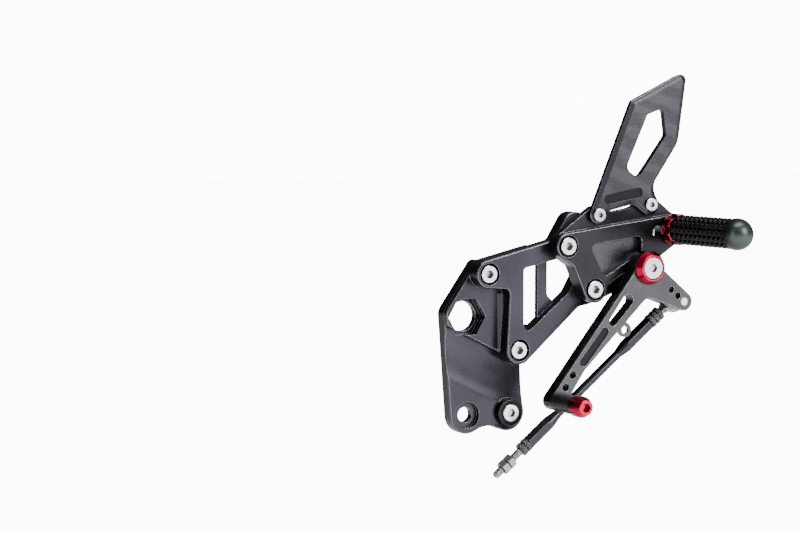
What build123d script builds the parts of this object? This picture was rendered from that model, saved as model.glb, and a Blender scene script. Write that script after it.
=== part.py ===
"""Motorcycle rearset, gear-shift side: foot peg, hanger plates, heel guard, shift lever and shift rod.

Millimetres, +Z up.  The plates stand in the XZ plane and stack outward along -Y.  +X points to the
rear of the motorcycle.  The origin is the centre of the large frame bore, on the mounting face.
"Height" below means the distance outward from that mounting face.
"""
from build123d import *
import math
import os

os.makedirs("parts", exist_ok=True)

# ---------------------------------------------------------------- stack of plates (heights)
FRAME_THICKNESS = 10.0
FLANGE_THICKNESS = 4.0
ADAPTER_THICKNESS = 12.0
HANGER_BASE_THICKNESS = 7.0
HANGER_RAISED_THICKNESS = 6.0
GUARD_THICKNESS = 5.0
LEVER_THICKNESS = 11.0

FLANGE_BASE = FRAME_THICKNESS
ADAPTER_BASE = FLANGE_BASE + FLANGE_THICKNESS
HANGER_BACK = ADAPTER_BASE + ADAPTER_THICKNESS
GUARD_BACK = HANGER_BACK + HANGER_BASE_THICKNESS
HANGER_FRONT = GUARD_BACK + HANGER_RAISED_THICKNESS
GUARD_FRONT = GUARD_BACK + GUARD_THICKNESS

# ---------------------------------------------------------------- fits
THREAD_CLEARANCE = 0.05     # radial, between a thread's cylinder and its tapped hole
BOLT_CLEARANCE = 0.3        # radial, round a bolt in a plain hole
HEAD_CLEARANCE = 1.7        # radial, round a cap head in its counterbore
SEAT_CLEARANCE = 0.03       # radial, between pressed or seated pieces
RUNNING_CLEARANCE = 0.06    # radial, in the lever's bearing and the rod end
SIDE_PLAY = 0.15            # axial, each side of the lever's hub
THREAD_RELIEF = 0.3         # radial, how far the pitch line of a free thread lies under its plain shank
BOLT_STAND_OFF = 2.0        # axial, between a screw's tip and the far face or the end of its hole

# ---------------------------------------------------------------- fasteners
M8_RADIUS = 4.0
M8_HEAD_RADIUS = 6.5
M8_HEAD_HEIGHT = 8.0
M8_LOW_HEAD_HEIGHT = 5.0
M8_SOCKET_AF = 6.0
M6_RADIUS = 3.0
M6_HEAD_RADIUS = 5.0
M6_HEAD_HEIGHT = 4.0
M6_SOCKET_AF = 4.0
HEAD_CHAMFER = 0.5
EDGE_CHAMFER = 0.7

# ---------------------------------------------------------------- places in the plate plane (x, z)
ADAPTER_BOLT_UPPER = (12.5, 32.0)
ADAPTER_BOLT_LOWER = (38.0, -25.6)
HANGER_BOLT_UPPER = (72.2, 51.8)
HANGER_BOLT_LOWER = (95.7, 18.7)
SPARE_ADAPTER_HOLE = (85.5, 66.4)
GUARD_BOLT_FRONT = (98.9, 74.6)
GUARD_BOLT_REAR = (144.7, 81.6)
LOBE_FRONT = (2.2, -74.0)
LOBE_REAR = (36.8, -73.6)
PIVOT = (135.0, 34.8)
PEG_AXIS = (164.4, 62.6)
SPARE_PEG_HOLE = (151.4, 60.6)

# ---------------------------------------------------------------- frame plate
FRAME_BORE_RADIUS = 11.25
HEX_POCKET_AF = 27.0
HEX_POCKET_DEPTH = 8.5
SPACER_SEAT_RADIUS = 11.2
LOBE_RADIUS = 14.0
LOBE_BORE_RADIUS = 5.8
LOBE_COUNTERBORE_RADIUS = 10.2
LOBE_COUNTERBORE_DEPTH = 4.0
SADDLE_RADIUS = 17.2
SCOOP_RADIUS = 60.0
SCOOP_DEPTH = 1.8

# ---------------------------------------------------------------- frame bolt and its cup spacer
CUP_RADIUS = 10.25
CUP_HEIGHT = 5.0
CUP_FLOOR = 1.0
CUP_BORE_RADIUS = 7.2
FRAME_BOLT_REACH = 18.0     # how far the bolt stands behind the mounting face
FRAME_BOLT_SHOULDER = 1.0   # how much of that is plain shank before the thread

# ---------------------------------------------------------------- adapter plate
ADAPTER_BOSS_RADIUS = 10.6
HANGER_EAR_RADIUS = 12.2
SPARE_EAR_RADIUS = 10.5
COVE_RADIUS = 4.5
STEP_TOP = 16.5
WEB_THICKNESS = 4.4

# ---------------------------------------------------------------- hanger plate
HANGER_BOSS_RADIUS = 10.0
HANGER_HEAD_PROUD = 0.9
PIVOT_BOSS_RADIUS = 11.0
PEG_BOSS_RADIUS = 11.2
SPARE_PEG_HOLE_RADIUS = 5.1
POCKET_DEPTH = 7.0

# ---------------------------------------------------------------- heel guard
GUARD_FRONT_BOSS_RADIUS = 6.5
GUARD_REAR_BOSS_RADIUS = 7.8
GUARD_SEAT_DEPTH = 1.5
GUARD_BEVEL_DEPTH = 1.3
GUARD_BEVEL_WIDTH = 3.6

# ---------------------------------------------------------------- foot peg
PEG_COLLAR_RADIUS = 11.9
PEG_COLLAR_LENGTH = 11.0
PEG_COLLAR_FLUTES = 6
PEG_FLUTE_RADIUS = 4.2
PEG_FLUTE_DEPTH = 2.2
PEG_COLLAR_RIM = 2.5
PEG_BARREL_RADIUS = 11.3
PEG_BARREL_LENGTH = 72.0
PEG_RING_COUNT = 11
PEG_RING_DEPTH = 1.3
PEG_RING_WIDTH = 2.6
PEG_END_RADIUS = 11.8
PEG_END_LAND = 1.0
PEG_SPIGOT_RADIUS = 8.0
PEG_SPIGOT_LENGTH = 12.0
PEG_BOLT_REACH = 30.0

# ---------------------------------------------------------------- lever pivot
WASHER_RADIUS = 8.8
WASHER_THICKNESS = 1.5
SLEEVE_RADIUS = 5.2
BUSH_WALL = 1.3
BUSH_FLANGE_RADIUS = 8.6
BUSH_FLANGE_THICKNESS = 1.0
BUSH_GAP = 1.0
PIVOT_COLLAR_BASE_RADIUS = 12.6
PIVOT_COLLAR_TOP_RADIUS = 9.8
PIVOT_COLLAR_HEIGHT = 6.3
PIVOT_COLLAR_LAND = 1.5
PIVOT_HEAD_RADIUS = 8.3
PIVOT_HEAD_HEIGHT = 4.2

# ---------------------------------------------------------------- shift lever
HUB_RADIUS = 12.2
TOE_LUG = (56.1, -62.1)
TOE_LUG_RADIUS = 6.8
ROD_LUG = (167.0, 8.0)
ROD_LUG_RADIUS = 7.0
ROD_HOLE_PITCH = 7.6
ROD_HOLE_ANGLE = 141.0
SPARE_ROD_HOLE_RADIUS = 2.5
EYE_CENTRE = (119.1, -12.3)
EYE_RADIUS = 5.4
EYE_HOLE_RADIUS = 3.0
EYE_THICKNESS = 3.0
LIGHTENING_HOLE_RADIUS = 2.8
RECESS_DEPTH = 0.8

# ---------------------------------------------------------------- toe peg
TOE_GRIP_RADIUS = 7.0
TOE_GRIP_LENGTH = 26.5
TOE_GROOVE_COUNT = 9
TOE_GROOVE_DEPTH = 0.7
TOE_GROOVE_WIDTH = 1.2
TOE_CAP_RADIUS = 7.9
TOE_CAP_NOSE_RADIUS = 5.6
TOE_CAP_LENGTH = 13.5
TOE_CAP_TAPER = 5.5
TOE_SOCKET_AF = 6.6
TOE_SOCKET_DEPTH = 4.0

# ------------------------------------------------ shift rod (distances run down the rod's axis)
ROD_ANGLE = 39.0  # slope of the rod, down and forward from its rod end
ROD_TRAVEL = 3.0            # how far each threaded end can be screwed in or out
ROD_END_RADIUS = 9.5
ROD_END_WIDTH = 7.5
ROD_NECK_RADIUS = 4.2
ROD_NECK_END = 10.7
ROD_SHANK_END = 42.0
BALL_RADIUS = 7.2
BALL_WIDTH = 9.6
ROD_SPACER_RADIUS = 5.0
ROD_SPACER_LENGTH = 1.85
UPPER_NUT_START = 14.0
UPPER_NUT_LENGTH = 12.5
UPPER_NUT_RADIUS = 5.6
NUT_GROOVE_DEPTH = 0.8
NUT_GROOVE_WIDTH = 1.4
ROD_NUT_GAP = 0.5
ROD_LENGTH = 135.5
ROD_END_SECTION = 24.0
ROD_FOOT_SECTION = 20.5
ROD_TAPER = 12.0
ROD_THICK_RADIUS = 5.4
ROD_FLATS_AF = 9.6
ROD_THIN_RADIUS = 3.3
LOWER_NUT_LENGTH = 8.5
LOWER_NUT_RADIUS = 5.3
LOWER_STUD_ENGAGEMENT = 11.5
LOWER_STUD_LENGTH = 48.0
STUD_TIP_LENGTH = 7.0
JAM_NUT_AF = 10.0
JAM_NUT_THICKNESS = 5.0
JAM_NUT_STAND_OFF = 9.0
JAM_NUT_GAP = 1.0


# ================================================================ helpers
def height(distance):
    """The drawing plane at a height above the mounting face: x stays x, y is +Z, its normal is -Y."""
    return Plane.XZ.offset(distance)


def near(place, along, up, radius):
    """A round of an outline, placed from a named point: a positive radius bulges, a negative one bites."""
    return (place[0] + along, place[1] + up, radius)


def tangent_direction(first, second):
    """The direction of the line that leaves one round of an outline and meets the next."""
    span = (second[0] - first[0], second[1] - first[1])
    return math.atan2(span[1], span[0]) - math.asin((second[2] - first[2]) / math.hypot(*span))


def on_round(centre, direction):
    """The point of a round where the outline runs in a direction."""
    return (centre[0] + centre[2] * math.sin(direction), centre[1] - centre[2] * math.cos(direction))


def belt_face(rounds):
    """Adds a face whose outline runs anticlockwise over rounds (x, z, signed radius) like a belt.

    Every stretch between two rounds is their common tangent, so the whole outline is smooth.
    """
    count = len(rounds)
    directions = [tangent_direction(rounds[i], rounds[(i + 1) % count]) for i in range(count)]
    with BuildLine() as outline:
        for i, centre in enumerate(rounds):
            arriving = directions[i - 1]
            leaving = directions[i]
            turn = (leaving - arriving) % (2 * math.pi)
            if centre[2] < 0:
                turn -= 2 * math.pi
            arc_end = on_round(centre, leaving)
            ThreePointArc(on_round(centre, arriving), on_round(centre, arriving + turn / 2), arc_end)
            Line(arc_end, on_round(rounds[(i + 1) % count], leaving))
    make_face(outline.edges())


def rounded_face(corners):
    """Adds a closed outline of (x, z, corner radius) to the sketch in hand."""
    with BuildLine() as outline:
        FilletPolyline(
            *[(x, z) for x, z, _ in corners],
            radius=[radius for _, _, radius in corners],
            close=True,
        )
    make_face(outline.edges())


def discs(places, radius):
    """Adds one circle at each place to the sketch in hand."""
    with Locations(*places):
        Circle(radius)


def bore(places, radius, start, end):
    """Cuts a round hole at each place, from one height to another."""
    with BuildSketch(height(start)) as profile:
        discs(places, radius)
    extrude(profile.sketch, amount=end - start, mode=Mode.SUBTRACT)


def barrel(places, radius, start, end):
    """Adds a round post at each place, from one height to another."""
    with BuildSketch(height(start)) as profile:
        discs(places, radius)
    extrude(profile.sketch, amount=end - start)


def circles_at(part, distance, radius):
    """The circular edges of a part that lie at a height and have a radius."""
    return part.edges().filter_by(GeomType.CIRCLE).filter_by(
        lambda edge: abs(edge.arc_center.Y + distance) < 1e-4 and abs(edge.radius - radius) < 1e-4
    )


def socket(places, across_flats, top, depth):
    """Cuts a hexagon socket at each place, from its open end at a height (a negative depth opens inward)."""
    with BuildSketch(height(top)) as profile:
        with Locations(*places):
            RegularPolygon(across_flats / 2, 6, major_radius=False)
    extrude(profile.sketch, amount=-depth, mode=Mode.SUBTRACT)


def cap_screws(screws, places, seat, head_radius, head_height, radius, reach, socket_af):
    """Adds socket cap screws to a builder: heads outward of the seat, shanks inward."""
    barrel(places, head_radius, seat, seat + head_height)
    barrel(places, radius, seat - reach, seat)
    chamfer(circles_at(screws.part, seat + head_height, head_radius), HEAD_CHAMFER)
    socket(places, socket_af, seat + head_height, head_height / 2)


def post_axis(place):
    """The plane of a turned post: its x runs outward along the post, its y is the radius."""
    return Plane(origin=(place[0], 0, place[1]), x_dir=(0, -1, 0), z_dir=(-1, 0, 0))


def turned(plane, outline_points, mode=Mode.ADD):
    """Adds a turned piece: (distance, radius) points swept round the plane's x axis."""
    with BuildSketch(plane) as profile:
        with BuildLine() as outline:
            Polyline(*outline_points, close=True)
        make_face(outline.edges())
    revolve(profile.sketch, axis=Axis(plane.origin, plane.x_dir), mode=mode)


def ring_profile(start, end, bore_radius, radius, bevel):
    """The (distance, radius) outline of a bored ring with bevelled outer ends."""
    return [(start, bore_radius), (start, radius - bevel), (start + bevel, radius),
            (end - bevel, radius), (end, radius - bevel), (end, bore_radius)]


def grooves(plane, radius, depth, width, first, pitch, count):
    """Cuts a row of V grooves round a turned piece."""
    for centre in [first + i * pitch for i in range(count)]:
        turned(plane, [(centre - width / 2, radius + depth), (centre - width / 2, radius),
                       (centre, radius - depth), (centre + width / 2, radius),
                       (centre + width / 2, radius + depth)], mode=Mode.SUBTRACT)


def save(piece, name):
    """Labels a finished piece and writes its file."""
    piece.part.label = name
    export_step(piece.part, f"parts/{name}.step")


def polar_point(centre, radius, angle):
    """The point at an angle (degrees) and radius round a centre in the plate plane."""
    turn = math.radians(angle)
    return (centre[0] + radius * math.cos(turn), centre[1] + radius * math.sin(turn))


# ================================================================ frame plate
SADDLE_DROP = math.sqrt((LOBE_RADIUS + SADDLE_RADIUS) ** 2 - ((LOBE_REAR[0] - LOBE_FRONT[0]) / 2) ** 2)
SADDLE = ((LOBE_FRONT[0] + LOBE_REAR[0]) / 2, LOBE_FRONT[1] - SADDLE_DROP - 0.4)
TOP_REAR_ROUND = (38.0, 22.0, 8.0)
TOP_FRONT_ROUND = (11.5, 36.9, 5.0)
FRONT_ROUND = (-8.2, 2.0, 9.2)

with BuildPart() as frame_plate:
    with BuildSketch(height(0)):
        belt_face([TOP_REAR_ROUND, TOP_FRONT_ROUND, FRONT_ROUND, near(LOBE_FRONT, 0, 0, LOBE_RADIUS),
                   near(SADDLE, 0, 0, -SADDLE_RADIUS), near(LOBE_REAR, 0, 0, LOBE_RADIUS),
                    (107.6, -40.0, -60.0)])
    extrude(amount=FRAME_THICKNESS)
    chamfer(frame_plate.faces().sort_by(Axis.Y)[0].edges(), EDGE_CHAMFER)
    # a shallow milled valley runs across the face below the adapter's flange
    with BuildSketch(Plane(origin=(20.0, -(FRAME_THICKNESS + SCOOP_RADIUS - SCOOP_DEPTH), -45.0),
                           z_dir=(math.cos(math.radians(26)), 0, -math.sin(math.radians(26))))):
        Circle(SCOOP_RADIUS)
    extrude(amount=60, both=True, mode=Mode.SUBTRACT)
    barrel([LOBE_REAR], SPACER_SEAT_RADIUS, FRAME_THICKNESS / 2, FRAME_THICKNESS)
    bore([(0, 0)], FRAME_BORE_RADIUS, 0, FRAME_THICKNESS)
    with BuildSketch(height(ADAPTER_BASE - HEX_POCKET_DEPTH)):
        RegularPolygon(HEX_POCKET_AF / 2, 6, major_radius=False)
    extrude(amount=HEX_POCKET_DEPTH, mode=Mode.SUBTRACT)
    bore([ADAPTER_BOLT_UPPER, ADAPTER_BOLT_LOWER], M8_RADIUS + THREAD_CLEARANCE, 0, FRAME_THICKNESS)
    bore([LOBE_FRONT], LOBE_BORE_RADIUS, 0, FRAME_THICKNESS)
    bore([LOBE_FRONT], LOBE_COUNTERBORE_RADIUS, FRAME_THICKNESS - LOBE_COUNTERBORE_DEPTH, FRAME_THICKNESS)
    bore([LOBE_REAR], M8_RADIUS + BOLT_CLEARANCE, 0, FRAME_THICKNESS)
save(frame_plate, "frame_plate")

# ================================================================ adapter plate
FRONT_SEAT = HANGER_BACK - M8_HEAD_HEIGHT
STEP_X = 29.6
WEB_FOOT = 14.5

with BuildPart() as adapter_plate:
    with BuildSketch(height(FLANGE_BASE)):
        belt_face([TOP_REAR_ROUND, TOP_FRONT_ROUND, FRONT_ROUND, (-13.2, -3.8, 3.6),
                   near(ADAPTER_BOLT_LOWER, 0, 0, 6.6)])
    extrude(amount=FLANGE_THICKNESS)
    chamfer(adapter_plate.faces().sort_by(Axis.Y)[0].edges(), EDGE_CHAMFER)
    with BuildSketch(height(FLANGE_BASE)):
        belt_face([near(SPARE_ADAPTER_HOLE, 0, 0, SPARE_EAR_RADIUS), (62.6, 61.6, -6.5),
                   near(ADAPTER_BOLT_UPPER, 0, 0, ADAPTER_BOSS_RADIUS), (STEP_X - 4.0, 16.5, -4.0),
                   near(ADAPTER_BOLT_LOWER, 0, 0, ADAPTER_BOSS_RADIUS),
                   near(HANGER_BOLT_LOWER, -3.0, -HANGER_EAR_RADIUS - 8.8, -8.0),
                   near(HANGER_BOLT_LOWER, 0, 0, HANGER_EAR_RADIUS)])
    extrude(amount=HANGER_BACK - FLANGE_BASE)
    chamfer(adapter_plate.faces().sort_by(Axis.Y)[0].edges(), EDGE_CHAMFER)
    # a generous cove where the plate steps up from its flange, from one bolt boss to the other
    with BuildSketch(Plane.XY.offset(ADAPTER_BOLT_LOWER[1])):
        with BuildLine():
            Polyline((STEP_X - COVE_RADIUS, -ADAPTER_BASE), (STEP_X + COVE_RADIUS, -ADAPTER_BASE),
                     (STEP_X + COVE_RADIUS, -ADAPTER_BASE - COVE_RADIUS),
                     (STEP_X, -ADAPTER_BASE - COVE_RADIUS))
            RadiusArc((STEP_X, -ADAPTER_BASE - COVE_RADIUS), (STEP_X - COVE_RADIUS, -ADAPTER_BASE),
                      -COVE_RADIUS)
        make_face()
    extrude(amount=STEP_TOP - ADAPTER_BOLT_LOWER[1])
    # beyond the frame plate's edge the back of the plate stands clear of the flange's level
    with BuildSketch(height(FLANGE_BASE)):
        with Locations((115.0, 20.0)):
            Rectangle(2 * (115.0 - 51.0), 160.0)
    extrude(amount=FLANGE_THICKNESS, mode=Mode.SUBTRACT)
    # window with a thin web left standing across its back
    with BuildSketch(height(FLANGE_BASE)):
        rounded_face([(41.2, 35.6, 3), (83.4, 44.6, 5), (89.5, 32.4, 7), (80.4, 16.4, 10),
                      (48.6, -9.6, 4), (43.6, -12.4, 3), (41.2, -6.0, 2)])
    extrude(amount=HANGER_BACK - FLANGE_BASE, mode=Mode.SUBTRACT)
    with BuildSketch(height(ADAPTER_BASE)):
        rounded_face([(57.5, -6.0, 0), (71.5, 8.4, 0), (65.5, WEB_FOOT, 4), (65.5, 43.5, 0), (57.5, 42.0, 0)])
    extrude(amount=WEB_THICKNESS)
    with BuildSketch(height(FLANGE_BASE)):
        RegularPolygon(HEX_POCKET_AF / 2, 6, major_radius=False)
    extrude(amount=FLANGE_THICKNESS, mode=Mode.SUBTRACT)
    bolt_places = [ADAPTER_BOLT_UPPER, ADAPTER_BOLT_LOWER]
    bore(bolt_places, M8_RADIUS + BOLT_CLEARANCE, FLANGE_BASE, HANGER_BACK)
    bore(bolt_places, M8_HEAD_RADIUS + HEAD_CLEARANCE, FRONT_SEAT, HANGER_BACK)
    bore([HANGER_BOLT_UPPER, HANGER_BOLT_LOWER], M8_RADIUS + THREAD_CLEARANCE, ADAPTER_BASE, HANGER_BACK)
    bore([SPARE_ADAPTER_HOLE], M8_RADIUS + BOLT_CLEARANCE, ADAPTER_BASE, HANGER_BACK)
save(adapter_plate, "adapter_plate")

# ================================================================ hanger plate
HANGER_SEAT = HANGER_FRONT + HANGER_HEAD_PROUD - M8_HEAD_HEIGHT
WAIST = near(HANGER_BOLT_UPPER, 0.4, -18.3, -5.0)
PIVOT_FILLET = near(PIVOT, 17.5, 0.7, -5.0)

with BuildPart() as hanger_plate:
    with BuildSketch(height(HANGER_BACK)):
        belt_face([near(GUARD_BOLT_FRONT, 0, 0, GUARD_FRONT_BOSS_RADIUS),
                   near(HANGER_BOLT_UPPER, 0, 0, HANGER_BOSS_RADIUS), WAIST,
                   near(HANGER_BOLT_LOWER, 0, 0, HANGER_BOSS_RADIUS), near(PIVOT, 0, 0, PIVOT_BOSS_RADIUS),
                   PIVOT_FILLET, near(PEG_AXIS, 0, 0, PEG_BOSS_RADIUS),
                   near(GUARD_BOLT_REAR, 0, 0, GUARD_REAR_BOSS_RADIUS),
                   near(GUARD_BOLT_REAR, -16.7, 6.4, -9.0), near(GUARD_BOLT_FRONT, 14.6, 9.9, -8.0)])
    extrude(amount=HANGER_BASE_THICKNESS)
    with BuildSketch(height(GUARD_BACK)):
        belt_face([near(HANGER_BOLT_UPPER, 0, 0, HANGER_BOSS_RADIUS), WAIST,
                   near(HANGER_BOLT_LOWER, 0, 0, HANGER_BOSS_RADIUS),
                   near(HANGER_BOLT_LOWER, 14.8, 0.8, -4.0),
                   near(HANGER_BOLT_LOWER, 26.0, 7.4, -4.0), near(PIVOT, 0, 0, PIVOT_BOSS_RADIUS),
                   PIVOT_FILLET, near(PEG_AXIS, 0, 0, PEG_BOSS_RADIUS)])
    extrude(amount=HANGER_RAISED_THICKNESS)
    chamfer(hanger_plate.faces().sort_by(Axis.Y)[0].edges(), EDGE_CHAMFER)
    with BuildSketch(height(HANGER_FRONT - POCKET_DEPTH)):
        rounded_face([(90.4, 52.6, 4), (136.8, 58.6, 4.5), (136.4, 46.2, 5), (103.4, 27.6, 3.5)])
    extrude(amount=POCKET_DEPTH, mode=Mode.SUBTRACT)
    bolt_places = [HANGER_BOLT_UPPER, HANGER_BOLT_LOWER]
    bore(bolt_places, M8_RADIUS + BOLT_CLEARANCE, HANGER_BACK, HANGER_FRONT)
    bore(bolt_places, M8_HEAD_RADIUS + HEAD_CLEARANCE, HANGER_SEAT, HANGER_FRONT)
    bore([GUARD_BOLT_FRONT, GUARD_BOLT_REAR], M6_RADIUS + THREAD_CLEARANCE, HANGER_BACK, GUARD_BACK)
    bore([PIVOT], M8_RADIUS + THREAD_CLEARANCE, HANGER_BACK, HANGER_FRONT)
    bore([PEG_AXIS], M8_RADIUS + BOLT_CLEARANCE, HANGER_BACK, HANGER_FRONT)
    bore([SPARE_PEG_HOLE], SPARE_PEG_HOLE_RADIUS, HANGER_BACK, HANGER_FRONT)
save(hanger_plate, "hanger_plate")

# ================================================================ heel guard
with BuildPart() as heel_guard:
    with BuildSketch(height(GUARD_BACK)):
        belt_face([(171.8, 175.6, 4.6), (131.3, 156.6, 4.5),
                   near(GUARD_BOLT_FRONT, 0, 0, GUARD_FRONT_BOSS_RADIUS),
                    near(GUARD_BOLT_FRONT, 13.8, -3.4, -7.0),
                   near(GUARD_BOLT_REAR, -16.2, -7.9, -8.0),
                    near(GUARD_BOLT_REAR, 0, 0, GUARD_REAR_BOSS_RADIUS),
                   near(GUARD_BOLT_REAR, 14.5, 12.8, -11.0), (150.6, 136.0, 20.0)])
    extrude(amount=GUARD_THICKNESS)
    guard_face = heel_guard.faces().sort_by(Axis.Y)[0]
    chamfer(guard_face.edges(), GUARD_BEVEL_WIDTH, GUARD_BEVEL_DEPTH, reference=guard_face)
    with BuildSketch(height(GUARD_BACK)):
        rounded_face([(141.4, 149.6, 3), (155.4, 154.6, 3), (158.2, 134.0, 5), (133.2, 101.4, 5.0),
                      (122.6, 109.2, 5.5)])
    extrude(amount=GUARD_THICKNESS, mode=Mode.SUBTRACT)
    with BuildSketch(height(GUARD_FRONT - RECESS_DEPTH)):
        with Locations(Location((120.6, 88.6), 10.0)):
            SlotOverall(34.0, 7.0)
    extrude(amount=RECESS_DEPTH, mode=Mode.SUBTRACT)
    bolt_places = [GUARD_BOLT_FRONT, GUARD_BOLT_REAR]
    bore(bolt_places, M6_RADIUS + BOLT_CLEARANCE, GUARD_BACK, GUARD_FRONT)
    bore(bolt_places, M6_HEAD_RADIUS + BOLT_CLEARANCE, GUARD_FRONT - GUARD_SEAT_DEPTH, GUARD_FRONT)
save(heel_guard, "heel_guard")

# ================================================================ plate bolts
with BuildPart() as adapter_bolts:
    cap_screws(adapter_bolts, [ADAPTER_BOLT_UPPER, ADAPTER_BOLT_LOWER], FRONT_SEAT,
               M8_HEAD_RADIUS, M8_HEAD_HEIGHT, M8_RADIUS, FRONT_SEAT - BOLT_STAND_OFF, M8_SOCKET_AF)
save(adapter_bolts, "adapter_bolts")

with BuildPart() as hanger_bolts:
    cap_screws(hanger_bolts, [HANGER_BOLT_UPPER, HANGER_BOLT_LOWER], HANGER_SEAT,
               M8_HEAD_RADIUS, M8_HEAD_HEIGHT, M8_RADIUS, HANGER_SEAT - ADAPTER_BASE - BOLT_STAND_OFF,
               M8_SOCKET_AF)
save(hanger_bolts, "hanger_bolts")

with BuildPart() as heel_guard_bolts:
    guard_seat = GUARD_FRONT - GUARD_SEAT_DEPTH
    cap_screws(heel_guard_bolts, [GUARD_BOLT_FRONT, GUARD_BOLT_REAR], guard_seat,
               M6_HEAD_RADIUS, M6_HEAD_HEIGHT, M6_RADIUS, guard_seat - HANGER_BACK - BOLT_STAND_OFF,
               M6_SOCKET_AF)
save(heel_guard_bolts, "heel_guard_bolts")

# ================================================================ frame bolt and its cup spacer
with BuildPart() as frame_bolt_spacer:
    barrel([LOBE_REAR], CUP_RADIUS, FRAME_THICKNESS, FRAME_THICKNESS + CUP_HEIGHT)
    chamfer(circles_at(frame_bolt_spacer.part, FRAME_THICKNESS + CUP_HEIGHT, CUP_RADIUS), EDGE_CHAMFER)
    bore([LOBE_REAR], CUP_BORE_RADIUS, FRAME_THICKNESS + CUP_FLOOR, FRAME_THICKNESS + CUP_HEIGHT)
    bore([LOBE_REAR], M8_RADIUS + BOLT_CLEARANCE, FRAME_THICKNESS, FRAME_THICKNESS + CUP_FLOOR)
save(frame_bolt_spacer, "frame_bolt_spacer")

with BuildPart() as frame_bolt:
    frame_bolt_seat = FRAME_THICKNESS + CUP_FLOOR
    cap_screws(frame_bolt, [LOBE_REAR], frame_bolt_seat, M8_HEAD_RADIUS, M8_LOW_HEAD_HEIGHT,
               M8_RADIUS, frame_bolt_seat + FRAME_BOLT_SHOULDER, M8_SOCKET_AF)
    barrel([LOBE_REAR], M8_RADIUS - THREAD_RELIEF, -FRAME_BOLT_REACH, -FRAME_BOLT_SHOULDER)
save(frame_bolt, "frame_bolt")

# ================================================================ foot peg
PEG_FOOT = HANGER_FRONT + PEG_COLLAR_LENGTH
PEG_TOP = PEG_FOOT + PEG_BARREL_LENGTH
peg_line = post_axis(PEG_AXIS)

with BuildPart() as foot_peg_collar:
    barrel([PEG_AXIS], PEG_COLLAR_RADIUS, HANGER_FRONT, PEG_FOOT)
    chamfer(foot_peg_collar.edges().filter_by(GeomType.CIRCLE), EDGE_CHAMFER)
    flute_circle = PEG_COLLAR_RADIUS + PEG_FLUTE_RADIUS - PEG_FLUTE_DEPTH
    flute_step = 360 / PEG_COLLAR_FLUTES
    bore([polar_point(PEG_AXIS, flute_circle, flute_step * i) for i in range(PEG_COLLAR_FLUTES)],
         PEG_FLUTE_RADIUS, HANGER_FRONT + PEG_COLLAR_RIM, PEG_FOOT)
    bore([PEG_AXIS], M8_RADIUS + BOLT_CLEARANCE, HANGER_FRONT, PEG_FOOT)
save(foot_peg_collar, "foot_peg_collar")

with BuildPart() as foot_peg_barrel:
    barrel([PEG_AXIS], PEG_BARREL_RADIUS, PEG_FOOT, PEG_TOP)
    ring_pitch = PEG_BARREL_LENGTH / (PEG_RING_COUNT + 1)
    grooves(peg_line, PEG_BARREL_RADIUS, PEG_RING_DEPTH, PEG_RING_WIDTH, PEG_FOOT + ring_pitch,
            ring_pitch, PEG_RING_COUNT)
    bore([PEG_AXIS], M8_RADIUS + THREAD_CLEARANCE, PEG_FOOT, PEG_FOOT + PEG_BOLT_REACH + BOLT_STAND_OFF)
    bore([PEG_AXIS], PEG_SPIGOT_RADIUS + SEAT_CLEARANCE, PEG_TOP - PEG_SPIGOT_LENGTH - BOLT_CLEARANCE,
         PEG_TOP)
save(foot_peg_barrel, "foot_peg_barrel")

with BuildPart() as foot_peg_end:
    dome_base = PEG_TOP + PEG_END_LAND
    with BuildSketch(peg_line):
        with BuildLine():
            Polyline((dome_base + PEG_END_RADIUS, 0), (PEG_TOP - PEG_SPIGOT_LENGTH, 0),
                     (PEG_TOP - PEG_SPIGOT_LENGTH, PEG_SPIGOT_RADIUS), (PEG_TOP, PEG_SPIGOT_RADIUS),
                     (PEG_TOP, PEG_END_RADIUS), (dome_base, PEG_END_RADIUS))
            CenterArc((dome_base, 0), PEG_END_RADIUS, 0, 90)
        make_face()
    revolve(axis=Axis(peg_line.origin, peg_line.x_dir))
save(foot_peg_end, "foot_peg_end")

with BuildPart() as foot_peg_bolt:
    barrel([PEG_AXIS], M8_HEAD_RADIUS, HANGER_BACK - M8_HEAD_HEIGHT, HANGER_BACK)
    chamfer(circles_at(foot_peg_bolt.part, HANGER_BACK - M8_HEAD_HEIGHT, M8_HEAD_RADIUS), HEAD_CHAMFER)
    barrel([PEG_AXIS], M8_RADIUS, HANGER_BACK, PEG_FOOT + PEG_BOLT_REACH)
    socket([PEG_AXIS], M8_SOCKET_AF, HANGER_BACK - M8_HEAD_HEIGHT, -M8_HEAD_HEIGHT / 2)
save(foot_peg_bolt, "foot_peg_bolt")

# ================================================================ lever pivot
LEVER_BACK = HANGER_FRONT + WASHER_THICKNESS + SIDE_PLAY
LEVER_FRONT = LEVER_BACK + LEVER_THICKNESS
COLLAR_BACK = LEVER_FRONT + SIDE_PLAY
COLLAR_FRONT = COLLAR_BACK + PIVOT_COLLAR_HEIGHT
PIVOT_HEAD_SEAT = COLLAR_FRONT - PIVOT_HEAD_HEIGHT - BOLT_CLEARANCE

with BuildPart() as pivot_washer:
    barrel([PIVOT], WASHER_RADIUS, HANGER_FRONT, HANGER_FRONT + WASHER_THICKNESS)
    bore([PIVOT], M8_RADIUS + BOLT_CLEARANCE, HANGER_FRONT, HANGER_FRONT + WASHER_THICKNESS)
save(pivot_washer, "pivot_washer")

with BuildPart() as pivot_sleeve:
    barrel([PIVOT], SLEEVE_RADIUS, HANGER_FRONT + WASHER_THICKNESS, COLLAR_BACK)
    bore([PIVOT], M8_RADIUS + SEAT_CLEARANCE, HANGER_FRONT + WASHER_THICKNESS, COLLAR_BACK)
save(pivot_sleeve, "pivot_sleeve")

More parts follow.
